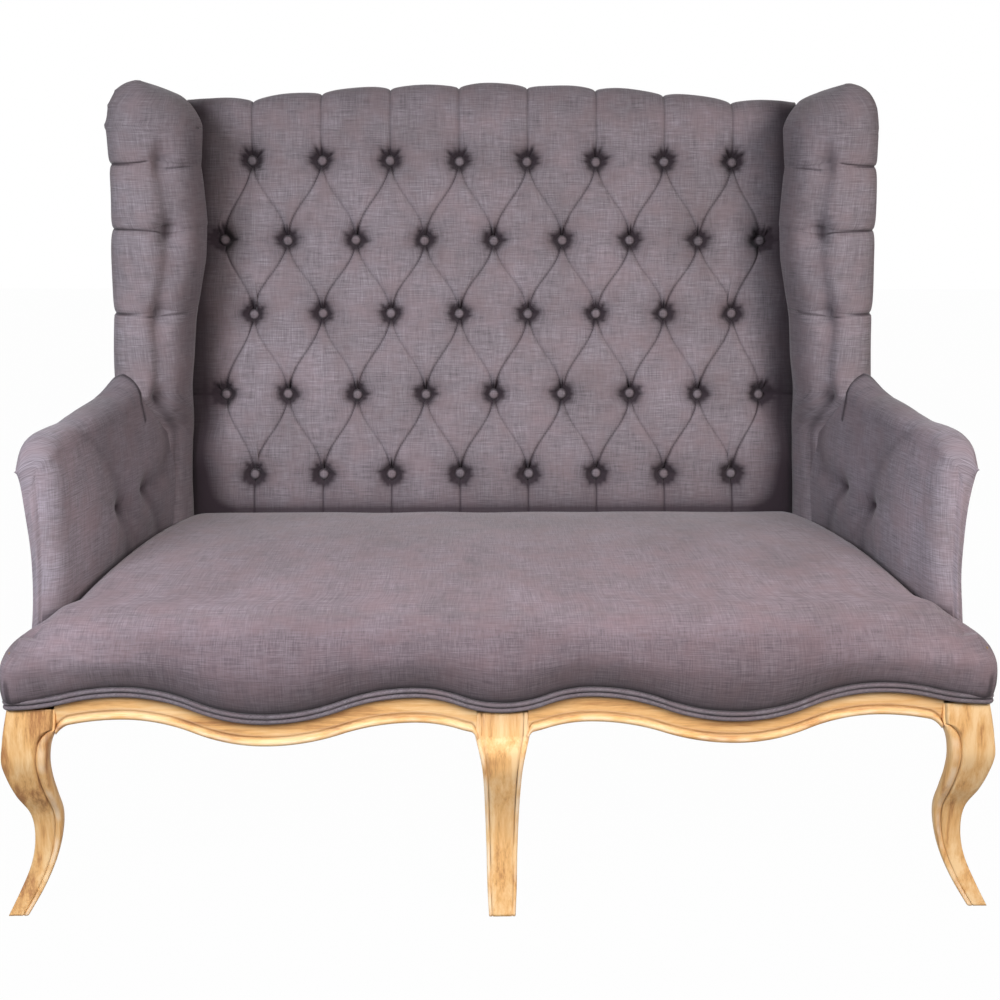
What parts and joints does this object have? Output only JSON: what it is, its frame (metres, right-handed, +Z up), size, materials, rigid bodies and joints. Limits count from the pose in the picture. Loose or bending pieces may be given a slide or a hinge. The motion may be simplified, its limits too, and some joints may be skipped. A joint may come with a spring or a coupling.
{
  "type": "high back settee",
  "caption": "Upholstered settee with a tall button-tufted back, shaped wings, low flared arms, a tight seat with double welt, and bare carved wood rails and legs.",
  "frame": {"origin": "bottom centre of the box round the settee, on the floor", "axes": "+X to the sitter's left, seen from the front to the right; +Y towards the back; +Z up"},
  "size_m": [1.4908, 0.882, 1.239],
  "materials": {
    "linen": "matt slub linen weave",
    "welt_cord": "linen sewn round a cord",
    "button_cloth": "linen stretched over a button",
    "show_wood": "bare oiled wood with pale worn edges",
    "frame_wood": "sawn, unfinished",
    "padding": "open-cell, matt",
    "hessian": "coarse plain weave",
    "dust_cloth": "thin, matt",
    "spring_steel": "drawn wire, satin",
    "plated_steel": "zinc plated",
    "twine": "waxed"
  },
  "bodies": {
    "root": {"arm_cover_left": "linen", "arm_cover_right": "linen", "arm_padding_left": "padding", "arm_padding_right": "padding", "arm_rail_left": "frame_wood", "arm_rail_right": "frame_wood", "arm_stump_left": "frame_wood", "arm_stump_right": "frame_wood", "back_buttons": "button_cloth", "back_foam": "padding", "back_hessian": "hessian", "back_lower_rail": "frame_wood", "back_stile_left": "frame_wood", "back_stile_right": "frame_wood", "back_top_rail": "frame_wood", "button_twines": "twine", "corner_block_front_left": "frame_wood", "corner_block_front_right": "frame_wood", "corner_block_rear_left": "frame_wood", "corner_block_rear_right": "frame_wood", "corner_bolts": "plated_steel", "dust_cover": "dust_cloth", "front_leg_centre": "show_wood", "front_leg_left": "show_wood", "front_leg_right": "show_wood", "front_rail_left": "show_wood", "front_rail_right": "show_wood", "inside_back_cover": "linen", "outside_arm_panel_left": "linen", "outside_arm_panel_right": "linen", "outside_back_cover": "linen", "outside_wing_panel_left": "linen", "outside_wing_panel_right": "linen", "rear_leg_centre": "show_wood", "rear_post_left": "show_wood", "rear_post_right": "show_wood", "rear_rail": "show_wood", "seat_cover": "linen", "seat_cross_rail": "frame_wood", "seat_deck": "hessian", "seat_foam": "padding", "seat_springs": "spring_steel", "side_rail_left": "show_wood", "side_rail_right": "show_wood", "spring_clips": "plated_steel", "welt_lower_cord": "welt_cord", "welt_upper_cord": "welt_cord", "wing_board_left": "frame_wood", "wing_board_right": "frame_wood", "wing_cover_left": "linen", "wing_cover_right": "linen", "wing_padding_left": "padding", "wing_padding_right": "padding"}
  },
  "joints": []
}
